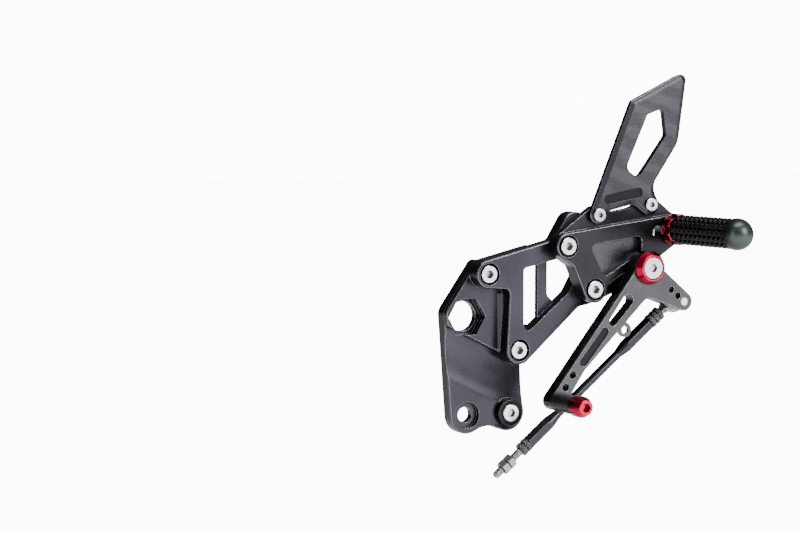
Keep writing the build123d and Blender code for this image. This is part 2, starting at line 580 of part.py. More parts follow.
with BuildPart() as pivot_collar:
    turned(post_axis(PIVOT), [(COLLAR_BACK, 0), (COLLAR_BACK, PIVOT_COLLAR_BASE_RADIUS),
                              (COLLAR_BACK + PIVOT_COLLAR_LAND, PIVOT_COLLAR_BASE_RADIUS),
                              (COLLAR_FRONT, PIVOT_COLLAR_TOP_RADIUS), (COLLAR_FRONT, 0)])
    fillet(circles_at(pivot_collar.part, COLLAR_FRONT, PIVOT_COLLAR_TOP_RADIUS), EDGE_CHAMFER / 2)
    bore([PIVOT], PIVOT_HEAD_RADIUS + BOLT_CLEARANCE, PIVOT_HEAD_SEAT, COLLAR_FRONT)
    bore([PIVOT], M8_RADIUS + BOLT_CLEARANCE, COLLAR_BACK, PIVOT_HEAD_SEAT)
save(pivot_collar, "pivot_collar")

with BuildPart() as pivot_bolt:
    cap_screws(pivot_bolt, [PIVOT], PIVOT_HEAD_SEAT, PIVOT_HEAD_RADIUS, PIVOT_HEAD_HEIGHT,
               M8_RADIUS, PIVOT_HEAD_SEAT - HANGER_BACK - BOLT_STAND_OFF, M8_SOCKET_AF)
save(pivot_bolt, "pivot_bolt")

# ================================================================ shift lever and its bushes
BUSH_BORE = SLEEVE_RADIUS + RUNNING_CLEARANCE
BUSH_RADIUS = BUSH_BORE + BUSH_WALL
BUSH_LENGTH = LEVER_THICKNESS / 2 - BUSH_GAP / 2
SLOT_UPPER = (116.5, 10.8, 4.6)
SLOT_LOWER = (103.5, -4.6, 3.4)
NAME_RECESS_UPPER = (96.5, -11.8, 3.25)
NAME_RECESS_LOWER = (77.9, -33.9, 3.25)
LIGHTENING_HOLES = [(68.7, -42.9), (62.6, -51.9)]

with BuildPart() as shift_lever:
    with BuildSketch(height(LEVER_BACK)):
        belt_face([near(PIVOT, 0, 0, HUB_RADIUS), near(PIVOT, -17.4, -0.2, -5.0),
                   near(TOE_LUG, 0, 0, TOE_LUG_RADIUS), (87.1, -46.5, -10.0),
                   (135.3, 5.45, -6.0), near(ROD_LUG, 0, 0, ROD_LUG_RADIUS), near(PIVOT, 17.4, 1.0, -5.0)])
    extrude(amount=LEVER_THICKNESS)
    chamfer(shift_lever.faces().sort_by(Axis.Y)[0].edges(), EDGE_CHAMFER)
    # the eye for a return spring stands off the lower edge, flush with the lever's back
    with BuildSketch(height(LEVER_BACK)):
        belt_face([near(EYE_CENTRE, 0, 0, EYE_RADIUS), near(EYE_CENTRE, -8.4, 8.6, EYE_RADIUS - 1.5)])
    extrude(amount=EYE_THICKNESS)
    with BuildSketch(height(LEVER_BACK)):
        belt_face([SLOT_UPPER, SLOT_LOWER])
    extrude(amount=LEVER_THICKNESS, mode=Mode.SUBTRACT)
    with BuildSketch(height(LEVER_FRONT - RECESS_DEPTH)):
        belt_face([NAME_RECESS_UPPER, NAME_RECESS_LOWER])
    extrude(amount=RECESS_DEPTH, mode=Mode.SUBTRACT)
    bore([EYE_CENTRE], EYE_HOLE_RADIUS, LEVER_BACK, LEVER_BACK + EYE_THICKNESS)
    bore(LIGHTENING_HOLES, LIGHTENING_HOLE_RADIUS, LEVER_BACK, LEVER_FRONT)
    bore([TOE_LUG, ROD_LUG], M6_RADIUS + THREAD_CLEARANCE, LEVER_BACK, LEVER_FRONT)
    bore([polar_point(ROD_LUG, ROD_HOLE_PITCH * i, ROD_HOLE_ANGLE) for i in (1, 2)],
         SPARE_ROD_HOLE_RADIUS, LEVER_BACK, LEVER_FRONT)
    bore([PIVOT], BUSH_RADIUS + SEAT_CLEARANCE, LEVER_BACK, LEVER_FRONT)
    for face in (LEVER_BACK, LEVER_FRONT - BUSH_FLANGE_THICKNESS):
        bore([PIVOT], BUSH_FLANGE_RADIUS + SEAT_CLEARANCE, face, face + BUSH_FLANGE_THICKNESS)
save(shift_lever, "shift_lever")

with BuildPart() as lever_bushes:
    barrel([PIVOT], BUSH_RADIUS, LEVER_BACK, LEVER_BACK + BUSH_LENGTH)
    barrel([PIVOT], BUSH_RADIUS, LEVER_FRONT - BUSH_LENGTH, LEVER_FRONT)
    for face in (LEVER_BACK, LEVER_FRONT - BUSH_FLANGE_THICKNESS):
        barrel([PIVOT], BUSH_FLANGE_RADIUS, face, face + BUSH_FLANGE_THICKNESS)
    bore([PIVOT], BUSH_BORE, LEVER_BACK, LEVER_FRONT)
save(lever_bushes, "lever_bushes")

# ================================================================ toe peg
CAP_BACK = LEVER_FRONT + TOE_GRIP_LENGTH
CAP_FRONT = CAP_BACK + TOE_CAP_LENGTH
TOE_STUD_FRONT = CAP_FRONT - TOE_SOCKET_DEPTH - BOLT_STAND_OFF
toe_line = post_axis(TOE_LUG)

with BuildPart() as toe_peg_grip:
    barrel([TOE_LUG], TOE_GRIP_RADIUS, LEVER_FRONT, CAP_BACK)
    groove_pitch = TOE_GRIP_LENGTH / (TOE_GROOVE_COUNT + 1)
    grooves(toe_line, TOE_GRIP_RADIUS, TOE_GROOVE_DEPTH, TOE_GROOVE_WIDTH, LEVER_FRONT + groove_pitch,
            groove_pitch, TOE_GROOVE_COUNT)
    bore([TOE_LUG], M6_RADIUS + BOLT_CLEARANCE, LEVER_FRONT, CAP_BACK)
save(toe_peg_grip, "toe_peg_grip")

with BuildPart() as toe_peg_cap:
    turned(toe_line, [(CAP_BACK, 0), (CAP_BACK, TOE_CAP_RADIUS - EDGE_CHAMFER),
                      (CAP_BACK + EDGE_CHAMFER, TOE_CAP_RADIUS), (CAP_FRONT - TOE_CAP_TAPER, TOE_CAP_RADIUS),
                      (CAP_FRONT, TOE_CAP_NOSE_RADIUS), (CAP_FRONT, 0)])
    fillet(circles_at(toe_peg_cap.part, CAP_FRONT, TOE_CAP_NOSE_RADIUS), EDGE_CHAMFER)
    bore([TOE_LUG], M6_RADIUS + THREAD_CLEARANCE, CAP_BACK, TOE_STUD_FRONT + BOLT_CLEARANCE)
    socket([TOE_LUG], TOE_SOCKET_AF, CAP_FRONT, TOE_SOCKET_DEPTH)
save(toe_peg_cap, "toe_peg_cap")

with BuildPart() as toe_peg_stud:
    barrel([TOE_LUG], M6_RADIUS, LEVER_BACK + BOLT_CLEARANCE, TOE_STUD_FRONT)
save(toe_peg_stud, "toe_peg_stud")

# ================================================================ rod end, its ball and its bolt
ROD_HEIGHT = LEVER_BACK - ROD_SPACER_LENGTH - BALL_WIDTH / 2
BALL_FRONT = ROD_HEIGHT + BALL_WIDTH / 2
BALL_BACK = ROD_HEIGHT - BALL_WIDTH / 2
rod_centre = (ROD_LUG[0], -ROD_HEIGHT, ROD_LUG[1])
rod_line = Plane(
    origin=rod_centre,
    x_dir=(-math.cos(math.radians(ROD_ANGLE)), 0, -math.sin(math.radians(ROD_ANGLE))),
    z_dir=(0, -1, 0),
)

with BuildPart() as rod_end:
    barrel([ROD_LUG], ROD_END_RADIUS, ROD_HEIGHT - ROD_END_WIDTH / 2, ROD_HEIGHT + ROD_END_WIDTH / 2)
    fillet(rod_end.edges().filter_by(GeomType.CIRCLE), EDGE_CHAMFER)
    turned(rod_line, [(BALL_RADIUS, 0), (BALL_RADIUS, ROD_NECK_RADIUS), (ROD_NECK_END, ROD_NECK_RADIUS),
                      (ROD_NECK_END, M6_RADIUS), (ROD_SHANK_END, M6_RADIUS), (ROD_SHANK_END, 0)])
    with Locations(rod_centre):
        Sphere(BALL_RADIUS + RUNNING_CLEARANCE, mode=Mode.SUBTRACT)
save(rod_end, "rod_end")

with BuildPart() as rod_end_ball:
    with Locations(rod_centre):
        Sphere(BALL_RADIUS)
    with Locations(rod_centre):
        Box(3 * BALL_RADIUS, BALL_WIDTH, 3 * BALL_RADIUS, mode=Mode.INTERSECT)
    bore([ROD_LUG], M6_RADIUS + SEAT_CLEARANCE, BALL_BACK, BALL_FRONT)
save(rod_end_ball, "rod_end_ball")

with BuildPart() as rod_end_spacer:
    barrel([ROD_LUG], ROD_SPACER_RADIUS, BALL_FRONT, LEVER_BACK)
    bore([ROD_LUG], M6_RADIUS + BOLT_CLEARANCE, BALL_FRONT, LEVER_BACK)
save(rod_end_spacer, "rod_end_spacer")

with BuildPart() as rod_end_bolt:
    barrel([ROD_LUG], M6_HEAD_RADIUS, BALL_BACK - M6_HEAD_HEIGHT, BALL_BACK)
    chamfer(circles_at(rod_end_bolt.part, BALL_BACK - M6_HEAD_HEIGHT, M6_HEAD_RADIUS), HEAD_CHAMFER)
    barrel([ROD_LUG], M6_RADIUS, BALL_BACK, LEVER_FRONT - BOLT_CLEARANCE)
    socket([ROD_LUG], M6_SOCKET_AF, BALL_BACK - M6_HEAD_HEIGHT, -M6_HEAD_HEIGHT / 2)
save(rod_end_bolt, "rod_end_bolt")

# ================================================ shift rod, its knurled nuts and the lower stud
ROD_START = UPPER_NUT_START + UPPER_NUT_LENGTH + ROD_NUT_GAP
ROD_FINISH = ROD_START + ROD_LENGTH
ROD_SHANK_HOLE_END = ROD_SHANK_END + ROD_TRAVEL + BOLT_STAND_OFF
LOWER_STUD_START = ROD_FINISH - LOWER_STUD_ENGAGEMENT
LOWER_STUD_END = LOWER_STUD_START + LOWER_STUD_LENGTH
JAM_NUT_START = ROD_FINISH + LOWER_NUT_LENGTH + JAM_NUT_STAND_OFF
ROD_STUD_HOLE_START = LOWER_STUD_START - ROD_TRAVEL - BOLT_STAND_OFF
THREAD_BORE = M6_RADIUS + THREAD_CLEARANCE

with BuildPart() as rod_lock_nut:
    turned(rod_line, ring_profile(UPPER_NUT_START, UPPER_NUT_START + UPPER_NUT_LENGTH, THREAD_BORE,
                                  UPPER_NUT_RADIUS, EDGE_CHAMFER))
    grooves(rod_line, UPPER_NUT_RADIUS, NUT_GROOVE_DEPTH, NUT_GROOVE_WIDTH,
            UPPER_NUT_START + UPPER_NUT_LENGTH / 3, UPPER_NUT_LENGTH / 3, 2)
save(rod_lock_nut, "rod_lock_nut")

with BuildPart() as shift_rod:
    turned(rod_line, [(ROD_START, 0), (ROD_START, ROD_THICK_RADIUS - EDGE_CHAMFER),
                      (ROD_START + EDGE_CHAMFER, ROD_THICK_RADIUS),
                      (ROD_START + ROD_END_SECTION, ROD_THICK_RADIUS),
                      (ROD_START + ROD_END_SECTION + ROD_TAPER, ROD_THIN_RADIUS),
                      (ROD_FINISH - ROD_FOOT_SECTION - ROD_TAPER, ROD_THIN_RADIUS),
                      (ROD_FINISH - ROD_FOOT_SECTION, ROD_THICK_RADIUS),
                      (ROD_FINISH - EDGE_CHAMFER, ROD_THICK_RADIUS),
                      (ROD_FINISH, ROD_THICK_RADIUS - EDGE_CHAMFER), (ROD_FINISH, 0)])
    # six flats for a spanner run along the thick ends
    with BuildSketch(Plane(origin=rod_line.from_local_coords((ROD_START, 0, 0)), z_dir=rod_line.x_dir)):
        RegularPolygon(ROD_FLATS_AF / 2, 6, major_radius=False)
    extrude(amount=ROD_LENGTH, mode=Mode.INTERSECT)
    turned(rod_line, [(ROD_START, 0), (ROD_START, THREAD_BORE), (ROD_SHANK_HOLE_END, THREAD_BORE),
                      (ROD_SHANK_HOLE_END, 0)], mode=Mode.SUBTRACT)
    turned(rod_line, [(ROD_FINISH, 0), (ROD_FINISH, THREAD_BORE), (ROD_STUD_HOLE_START, THREAD_BORE),
                      (ROD_STUD_HOLE_START, 0)], mode=Mode.SUBTRACT)
save(shift_rod, "shift_rod")

with BuildPart() as rod_lower_nut:
    turned(rod_line, ring_profile(ROD_FINISH, ROD_FINISH + LOWER_NUT_LENGTH, THREAD_BORE,
                                  LOWER_NUT_RADIUS, EDGE_CHAMFER))
    grooves(rod_line, LOWER_NUT_RADIUS, NUT_GROOVE_DEPTH, NUT_GROOVE_WIDTH,
            ROD_FINISH + LOWER_NUT_LENGTH / 2, LOWER_NUT_LENGTH, 1)
save(rod_lower_nut, "rod_lower_nut")

with BuildPart() as lower_stud:
    turned(rod_line, [(LOWER_STUD_START, 0), (LOWER_STUD_START, M6_RADIUS),
                      (LOWER_STUD_END - STUD_TIP_LENGTH, M6_RADIUS),
                      (LOWER_STUD_END - STUD_TIP_LENGTH, M6_RADIUS - THREAD_RELIEF),
                      (LOWER_STUD_END - EDGE_CHAMFER, M6_RADIUS - THREAD_RELIEF),
                      (LOWER_STUD_END, M6_RADIUS - THREAD_RELIEF - EDGE_CHAMFER), (LOWER_STUD_END, 0)])
save(lower_stud, "lower_stud")

with BuildPart() as stud_nuts:
    nut_starts = (JAM_NUT_START, JAM_NUT_START + JAM_NUT_THICKNESS + JAM_NUT_GAP)
    for start in nut_starts:
        nut_plane = Plane(origin=rod_line.from_local_coords((start, 0, 0)), z_dir=rod_line.x_dir)
        with BuildSketch(nut_plane):
            RegularPolygon(JAM_NUT_AF / 2, 6, major_radius=False)
        extrude(amount=JAM_NUT_THICKNESS)
    # bevelled corners
    with BuildSketch(rod_line):
        for start in nut_starts:
            with BuildLine() as outline:
                Polyline(*ring_profile(start, start + JAM_NUT_THICKNESS, THREAD_BORE,
                                       JAM_NUT_AF / math.sqrt(3), EDGE_CHAMFER), close=True)
            make_face(outline.edges())
    revolve(axis=Axis(rod_line.origin, rod_line.x_dir), mode=Mode.INTERSECT)
save(stud_nuts, "stud_nuts")
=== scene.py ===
import math

import bmesh
import bpy
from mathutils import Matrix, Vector


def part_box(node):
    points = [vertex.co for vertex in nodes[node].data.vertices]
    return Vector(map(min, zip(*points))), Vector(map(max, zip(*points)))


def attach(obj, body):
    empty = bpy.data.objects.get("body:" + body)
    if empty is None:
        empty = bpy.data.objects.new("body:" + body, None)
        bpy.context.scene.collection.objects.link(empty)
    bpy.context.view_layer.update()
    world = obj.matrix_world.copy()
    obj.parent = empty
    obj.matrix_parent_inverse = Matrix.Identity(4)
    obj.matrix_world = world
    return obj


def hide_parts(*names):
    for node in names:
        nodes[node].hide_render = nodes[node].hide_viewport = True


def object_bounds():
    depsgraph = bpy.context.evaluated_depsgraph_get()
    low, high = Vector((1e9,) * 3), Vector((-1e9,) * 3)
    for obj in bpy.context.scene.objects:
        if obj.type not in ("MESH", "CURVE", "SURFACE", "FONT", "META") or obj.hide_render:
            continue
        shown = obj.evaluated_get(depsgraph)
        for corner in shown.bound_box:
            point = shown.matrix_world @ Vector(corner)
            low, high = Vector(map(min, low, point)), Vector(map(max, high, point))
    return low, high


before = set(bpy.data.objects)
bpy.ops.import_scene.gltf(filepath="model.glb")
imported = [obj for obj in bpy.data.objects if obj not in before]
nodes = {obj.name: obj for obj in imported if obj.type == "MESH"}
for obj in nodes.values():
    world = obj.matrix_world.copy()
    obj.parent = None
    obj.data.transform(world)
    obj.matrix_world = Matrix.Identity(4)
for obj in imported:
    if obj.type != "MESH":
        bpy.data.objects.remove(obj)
cad_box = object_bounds()
MM = 0.001
WHITE = (1.0, 1.0, 1.0)
UNSCALED = (1.0, 1.0, 1.0)


def grey(level):
    """A colour with no hue."""
    return (level, level, level)


# ---------------------------------------------------------------- materials
def material(name):
    """A new node material, with its tree and its Principled shader."""
    mat = bpy.data.materials.new(name)
    mat.use_nodes = True
    tree = mat.node_tree
    return mat, tree, tree.nodes["Principled BSDF"]


def add(tree, kind, values=(), **links):
    """Adds a node, sets sockets from (name, value) pairs and links sockets by name with _ for a space."""
    node = tree.nodes.new(kind)
    for socket, value in values:
        node.inputs[socket].default_value = value
    for socket, source in links.items():
        tree.links.new(source, node.inputs[socket.replace("_", " ")])
    return node


def ramp(tree, source, stops):
    """A colour ramp over (position, colour) stops."""
    node = add(tree, "ShaderNodeValToRGB", Fac=source)
    elements = node.color_ramp.elements
    while len(elements) < len(stops):
        elements.new(0.5)
    for element, (position, colour) in zip(elements, stops):
        element.position = position
        element.color = (*colour, 1.0)
    return node.outputs["Color"]


def scaled(tree, scale, rotation=(0.0, 0.0, 0.0)):
    """Object coordinates, turned and scaled."""
    place = add(tree, "ShaderNodeTexCoord")
    mapping = add(tree, "ShaderNodeMapping", [("Scale", scale), ("Rotation", rotation)],
                  Vector=place.outputs["Object"])
    return mapping.outputs["Vector"]


# the Mix node's sockets share their names, so they are picked by number
VECTOR_A, VECTOR_B, VECTOR_RESULT = 4, 5, 1
COLOUR_A, COLOUR_B, COLOUR_RESULT = 6, 7, 2


def blend_colour(tree, kind, factor, first, second):
    """Mixes two colours; factor and second are a socket or a fixed value."""
    mix = add(tree, "ShaderNodeMix")
    mix.data_type = "RGBA"
    mix.blend_type = kind
    if isinstance(factor, float):
        mix.inputs["Factor"].default_value = factor
    else:
        tree.links.new(factor, mix.inputs["Factor"])
    tree.links.new(first, mix.inputs[COLOUR_A])
    if isinstance(second, tuple):
        mix.inputs[COLOUR_B].default_value = (*second, 1.0)
    else:
        tree.links.new(second, mix.inputs[COLOUR_B])
    return mix.outputs[COLOUR_RESULT]


def blend_vector(tree, factor, first, second):
    """Mixes two vectors."""
    mix = add(tree, "ShaderNodeMix")
    mix.data_type = "VECTOR"
    tree.links.new(factor, mix.inputs["Factor"])
    tree.links.new(first, mix.inputs[VECTOR_A])
    tree.links.new(second, mix.inputs[VECTOR_B])
    return mix.outputs[VECTOR_RESULT]


SAME_DEPTH = 0.1 * MM       # how near a surface lies to a patch's depth to belong to it
MARK_DARKNESS = 0.75        # the marks' share of the patch's own colour


def milled_floor(tree, body, normal, depth, colour, scale, rotation):
    """Tints the faces that lie at one depth (Y) and scores them with bands of cutter marks."""
    place = add(tree, "ShaderNodeTexCoord")
    split = add(tree, "ShaderNodeSeparateXYZ", Vector=place.outputs["Object"])
    inside = add(tree, "ShaderNodeMath", [(1, depth), (2, SAME_DEPTH)])
    inside.operation = "COMPARE"
    tree.links.new(split.outputs["Y"], inside.inputs[0])
    marks = add(tree, "ShaderNodeTexWave", [("Scale", 1.0), ("Distortion", 2.5), ("Detail", 2.0)],
                Vector=scaled(tree, scale, rotation))
    marked = tuple(c * MARK_DARKNESS for c in colour)
    tint = ramp(tree, marks.outputs["Fac"], [(0.2, marked), (0.8, colour)])
    body = blend_colour(tree, "MIX", inside.outputs["Value"], body, tint)
    scored = add(tree, "ShaderNodeBump", [("Strength", 0.2), ("Distance", 0.2 * MM)],
                 Height=marks.outputs["Fac"], Normal=normal)
    return body, blend_vector(tree, inside.outputs["Value"], normal, scored.outputs["Normal"])


COLOUR_VARIATION = 0.15
ROUGHNESS_VARIATION = 0.15
GRAIN_SCALE = 2600.0
BUMP_DEPTH = 0.1 * MM


def metal(name, colour, roughness, brushed=None, brush_depth=0.1, grain_depth=0.12, edge=0.4 * MM,
          edge_colour=None, hollow_shade=0.35, reach=3 * MM, patches=()):
    """A metal finish: uneven colour and roughness, blasted grain, brushed lines, edges painted brighter (a
    painted highlight, partly edge wear), painted shade in hollows.

    brushed is the (scale, rotation) of the lines. edge is the radius that sharp edges are shaded with.
    Hollows narrower than about reach get painted shade, darkened down to the share hollow_shade. Each patch
    is (depth, colour, scale, rotation): a milled surface at one depth, with its own cutter marks.
    """
    mat, tree, shader = material(name)
    cloud = add(tree, "ShaderNodeTexNoise", [("Scale", 38.0), ("Detail", 6.0), ("Roughness", 0.6)],
                Vector=scaled(tree, UNSCALED))
    low = tuple(c * (1 - COLOUR_VARIATION) for c in colour)
    high = tuple(c * (1 + COLOUR_VARIATION) for c in colour)
    smooth = grey(roughness * (1 - ROUGHNESS_VARIATION))
    dull = grey(roughness * (1 + ROUGHNESS_VARIATION))
    body = ramp(tree, cloud.outputs["Fac"], [(0.3, low), (0.7, high)])
    rough = ramp(tree, cloud.outputs["Fac"], [(0.3, smooth), (0.7, dull)])
    grain = add(tree, "ShaderNodeTexNoise", [("Scale", GRAIN_SCALE), ("Detail", 2.0)],
                Vector=scaled(tree, UNSCALED))
    bevel = add(tree, "ShaderNodeBevel", [("Radius", edge)])
    bevel.samples = 4
    bump = add(tree, "ShaderNodeBump", [("Strength", grain_depth), ("Distance", BUMP_DEPTH)],
               Height=grain.outputs["Fac"], Normal=bevel.outputs["Normal"])
    normal = bump.outputs["Normal"]
    if brushed:
        scale, rotation = brushed
        lines = add(tree, "ShaderNodeTexNoise", [("Scale", 1.0), ("Detail", 3.0)],
                    Vector=scaled(tree, scale, rotation))
        normal = add(tree, "ShaderNodeBump", [("Strength", brush_depth), ("Distance", BUMP_DEPTH)],
                     Height=lines.outputs["Fac"], Normal=normal).outputs["Normal"]
    if edge_colour:
        # how far the rounded normal leans from the true one marks the edges, which are painted brighter: a
        # painted highlight, partly edge wear
        true = add(tree, "ShaderNodeNewGeometry")
        lean = add(tree, "ShaderNodeVectorMath")
        lean.operation = "DOT_PRODUCT"
        tree.links.new(bevel.outputs["Normal"], lean.inputs[0])
        tree.links.new(true.outputs["Normal"], lean.inputs[1])
        edge_wear_and_highlight = ramp(tree, lean.outputs["Value"], [(0.90, WHITE), (0.995, grey(0.0))])
        body = blend_colour(tree, "MIX", edge_wear_and_highlight, body, edge_colour)
    for patch in patches:
        body, normal = milled_floor(tree, body, normal, *patch)
    # painted shade: the colour darkens in hollows, creases and gaps between parts, by how enclosed they are
    shade = add(tree, "ShaderNodeAmbientOcclusion", [("Distance", reach)])
    shade.samples = 6
    dark = ramp(tree, shade.outputs["AO"], [(0.30, grey(hollow_shade)), (0.85, WHITE)])
    body = blend_colour(tree, "MULTIPLY", 1.0, body, dark)
    tree.links.new(body, shader.inputs["Base Color"])
    tree.links.new(rough, shader.inputs["Roughness"])
    tree.links.new(normal, shader.inputs["Normal"])
    shader.inputs["Metallic"].default_value = 1.0
    return mat


def front_of(node, behind=0.0):
    """The Y of a node's frontmost face, or of a surface that lies some way behind it."""
    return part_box(node)[0][1] + behind


RECESS_DEPTH = 0.8 * MM
POCKET_DEPTH = 7.0 * MM
EDGE_WEAR_AND_HIGHLIGHT = (0.34, 0.34, 0.38)
NAME_FLOOR = ((0.013, 0.013, 0.015), (900.0, 1.0, 200.0), (0.0, 0.3, 0.0))
GUARD_FACE = ((0.032, 0.032, 0.036), (8.0, 1.0, 140.0), (0.0, 0.12, 0.0))
POCKET_FLOOR = ((0.055, 0.055, 0.060), (420.0, 1.0, 420.0), (0.0, 0.6, 0.0))
DOWN_PLATE = ((700.0, 700.0, 90.0), (0.0, 0.3, 0.0))
ACROSS_GUARD = ((110.0, 900.0, 2600.0), (0.0, 0.15, 0.0))
ALONG_HANGER = ((90.0, 700.0, 900.0), (0.0, 0.2, 0.0))
ALONG_LEVER = ((60.0, 400.0, 2400.0), (0.0, math.radians(-51), 0.0))
SPECKLED = ((1500.0, 1500.0, 1500.0), (0.0, 0.0, 0.0))

plate_black = metal("plate_black", (0.024, 0.024, 0.029), 0.27, DOWN_PLATE, 0.08, edge_colour=EDGE_WEAR_AND_HIGHLIGHT)
guard_black = metal("guard_black", (0.026, 0.026, 0.030), 0.27, ACROSS_GUARD, 0.45,
                    edge_colour=EDGE_WEAR_AND_HIGHLIGHT,
                    patches=[(front_of("heel_guard"), *GUARD_FACE),
                             (front_of("heel_guard", RECESS_DEPTH), *NAME_FLOOR)])
hanger_black = metal("hanger_black", (0.017, 0.017, 0.020), 0.27, ALONG_HANGER, 0.10,
                     edge_colour=EDGE_WEAR_AND_HIGHLIGHT,
                     patches=[(front_of("hanger_plate", POCKET_DEPTH), *POCKET_FLOOR)])
lever_black = metal("lever_black", (0.044, 0.044, 0.047), 0.25, ALONG_LEVER, 0.10,
                    edge_colour=(0.42, 0.42, 0.45),
                    patches=[(front_of("shift_lever", RECESS_DEPTH), *NAME_FLOOR)])
peg_black = metal("peg_black", (0.009, 0.0085, 0.0085), 0.42, edge=0.3 * MM, edge_colour=grey(0.05))
ball_black = metal("ball_black", (0.034, 0.041, 0.038), 0.34)
grip_black = metal("grip_black", (0.024, 0.024, 0.028), 0.30, edge=0.2 * MM, edge_colour=(0.10, 0.10, 0.11))
cup_black = metal("cup_black", (0.010, 0.010, 0.012), 0.33, edge_colour=grey(0.12))
rod_grey = metal("rod_grey", (0.022, 0.022, 0.025), 0.24, SPECKLED, 0.05, edge_colour=(0.20, 0.20, 0.21))
nut_grey = metal("nut_grey", (0.024, 0.024, 0.030), 0.28, edge=0.2 * MM, edge_colour=(0.25, 0.25, 0.27))
# the pink edges of the red parts and the near-white edges of the bolt steel are painted highlights
red = metal("red_anodised", (0.30, 0.004, 0.026), 0.22, edge_colour=(0.72, 0.15, 0.26))
dark_red = metal("dark_red_anodised", (0.17, 0.004, 0.012), 0.28, edge_colour=(0.7, 0.15, 0.24))
# the bolt steel's socket hollows are darkened almost to black: painted shade
steel = metal("bolt_steel", (0.50, 0.50, 0.52), 0.22, grain_depth=0.05, edge=0.3 * MM,
              edge_colour=(0.95, 0.95, 0.96), hollow_shade=0.03, reach=4 * MM)
dull_steel = metal("dull_steel", (0.15, 0.15, 0.155), 0.24, edge=0.2 * MM, edge_colour=grey(0.7),
                   hollow_shade=0.06, reach=1.2 * MM)
bronze = metal("bronze", (0.55, 0.36, 0.17), 0.42)

FINISHES = {
    "frame_plate": plate_black, "adapter_plate": plate_black, "hanger_plate": hanger_black,
    "heel_guard": guard_black, "shift_lever": lever_black, "foot_peg_barrel": peg_black,
    "foot_peg_end": ball_black, "toe_peg_grip": grip_black, "frame_bolt_spacer": cup_black,
    "shift_rod": rod_grey, "rod_lock_nut": nut_grey, "rod_lower_nut": nut_grey,
    "foot_peg_collar": dark_red, "pivot_collar": red, "toe_peg_cap": red, "lever_bushes": bronze,
    "rod_end": dull_steel, "lower_stud": dull_steel, "stud_nuts": dull_steel,
}
for name, node in nodes.items():
    finish = FINISHES.get(name, steel)
    if not node.material_slots:
        node.data.materials.append(finish)
    for material_slot in node.material_slots:
        material_slot.material = finish


# ---------------------------------------------------------------- knurled and threaded pieces
def tooth(x):
    """A triangle wave: 0 at whole numbers, 1 half way between them."""
    return 1.0 - abs(2.0 * (x - math.floor(x)) - 1.0)


def relief(name, start, axis, length, radius_at, rows, columns, bore):
    """A closed ring or tube along an axis whose radius is a function of (distance, turns round it)."""
    side = axis.orthogonal().normalized()
    up = axis.cross(side)

    def point(distance, turns, radius):
        angle = 2 * math.pi * turns
        return start + axis * distance + (side * math.cos(angle) + up * math.sin(angle)) * radius

    mesh = bmesh.new()
    rings = []
    for i in range(rows + 1):
        distance = length * i / rows
        rings.append([mesh.verts.new(point(distance, j / columns, radius_at(distance, j / columns)))
                      for j in range(columns)])
    for distance in (length, 0.0):
        rings.append([mesh.verts.new(point(distance, j / columns, bore)) for j in range(columns)])
    for a, b in zip(rings, rings[1:] + rings[:1]):
        for j in range(columns):
            k = (j + 1) % columns
            mesh.faces.new((a[j], a[k], b[k], b[j]))
    bmesh.ops.recalc_face_normals(mesh, faces=mesh.faces)
    data = bpy.data.meshes.new(name)
    mesh.to_mesh(data)
    mesh.free()
    piece = bpy.data.objects.new(name, data)
    bpy.context.collection.objects.link(piece)
    return piece


def finish_piece(piece, finish, body, node):
    """Gives a new piece its finish, its body and the CAD node it stands for."""
    piece.data.materials.append(finish)
    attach(piece, body)
    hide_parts(node)


M8_BORE = 4.05 * MM
M6_BORE = 3.05 * MM
OUTWARD = Vector((0.0, -1.0, 0.0))
ROD_SLOPE = math.radians(39.0)
DOWN_ROD = Vector((-math.cos(ROD_SLOPE), 0.0, -math.sin(ROD_SLOPE)))


def studs(distance, turns, pitch, count):
    """Height, 0 to 1, of rows of square pyramids: sharp rings parted by lengthwise grooves."""
    return min(1.0, 1.5 * min(tooth(turns * count), tooth(distance / pitch)))


def diamond(distance, turns, pitch, count):
    """Height, 0 to 1, of a coarse diamond knurl: flat-topped pyramids between two crossed sets of grooves."""
    along = distance / pitch
    around = turns * count
    return min(1.0, 1.7 * min(tooth(around + along), tooth(around - along)))


def peg_barrel():
    """The foot peg's barrel: rings of pyramid teeth and a plain land at each end."""
    low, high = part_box("foot_peg_barrel")
    radius = (high[0] - low[0]) / 2
    length = high[1] - low[1]
    depth = 2.2 * MM
    land, land_depth = 0.6 * MM, 0.8 * depth
    rings, grooves = 12, 12

    def radius_at(distance, turns):
        if min(distance, length - distance) < land:
            return radius - land_depth
        return radius - depth * (1.0 - studs(distance, turns, length / rings, grooves))

    start = Vector(((low[0] + high[0]) / 2, high[1], (low[2] + high[2]) / 2))
    piece = relief("peg_knurl", start, OUTWARD, length, radius_at, 180, 144, M8_BORE)
    finish_piece(piece, peg_black, "mount", "foot_peg_barrel")


def rod_point(distance):
    """A point on the rod's axis, by its distance (mm) down the rod from the rod end's centre."""
    low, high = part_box("rod_end_ball")
    return (Vector(low) + Vector(high)) / 2 + DOWN_ROD * (distance * MM)


def knurled_nut(name, body, node, start, length, radius, bands):
    """A round lock nut whose bands of fine diamond knurl are parted by plain grooves. Sizes are in mm."""
    groove, depth, bevel = 0.7, 0.55, 0.5
    pitch, around = 2.6, 12

    def radius_at(distance, turns):
        mm = distance / MM
        edge = min(mm, length - mm)
        if edge < bevel:
            return (radius - depth - (bevel - edge)) * MM
        within = (mm * bands / length) % 1.0
        from_groove = min(within, 1.0 - within) * length / bands
        if from_groove < groove and groove < mm < length - groove:
            return (radius - depth * 2.0) * MM
        return (radius - depth * (1.0 - diamond(mm, turns, pitch, around))) * MM

    piece = relief(name, rod_point(start), DOWN_ROD, length * MM, radius_at, round(length * 8), 120, M6_BORE)
    finish_piece(piece, nut_grey, body, node)


